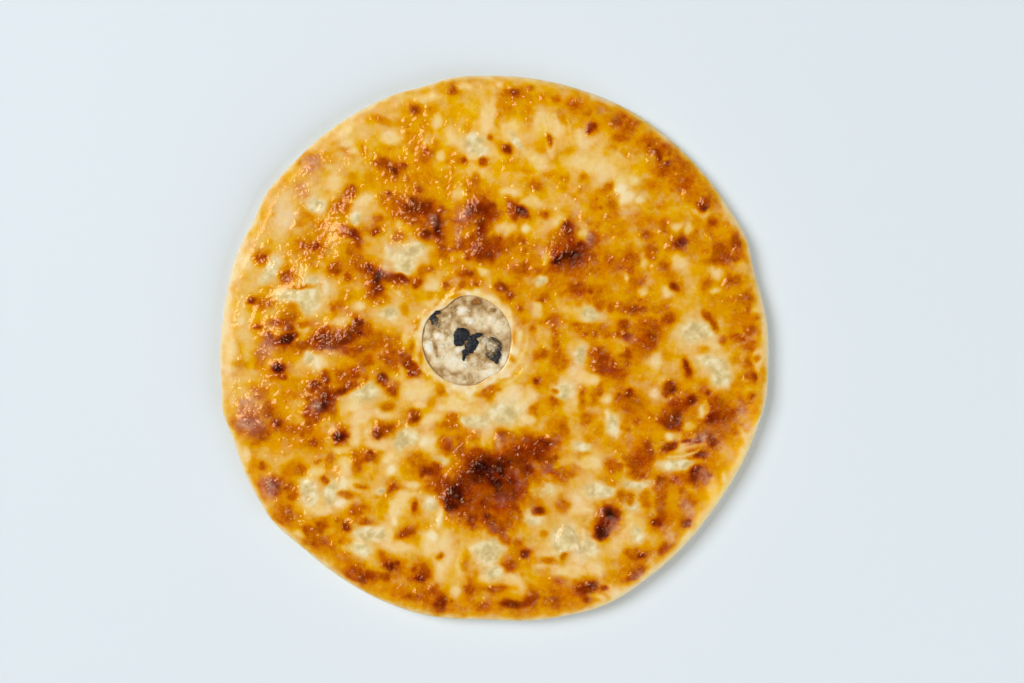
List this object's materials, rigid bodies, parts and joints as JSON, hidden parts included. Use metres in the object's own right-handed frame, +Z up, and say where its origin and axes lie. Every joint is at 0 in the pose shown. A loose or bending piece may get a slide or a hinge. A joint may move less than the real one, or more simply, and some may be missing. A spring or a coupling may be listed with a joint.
{
  "type": "chicken and mushroom pie",
  "caption": "Large flat round pie of soft yeast dough, baked golden with toasted blisters, with a round steam vent that shows its chicken and mushroom filling.",
  "frame": {"origin": "centre of the pie's flat base, under the middle of its bounding box", "axes": "+Z up out of the lid; +X and +Y are the right and the top of the view from above, so -Y is the side nearest the eater"},
  "size_m": [0.3296, 0.3279, 0.0196],
  "materials": {
    "baked_dough": "soft yeast dough baked golden to dark brown and brushed with butter",
    "chicken_filling": "moist chopped chicken and onion",
    "mushroom": "moist cooked mushroom"
  },
  "bodies": {
    "root": {"crust": "baked_dough", "filling": "chicken_filling", "mushroom_slice_dark": "mushroom", "mushroom_slice_gilled": "mushroom", "mushroom_slice_small": "mushroom"}
  },
  "joints": []
}
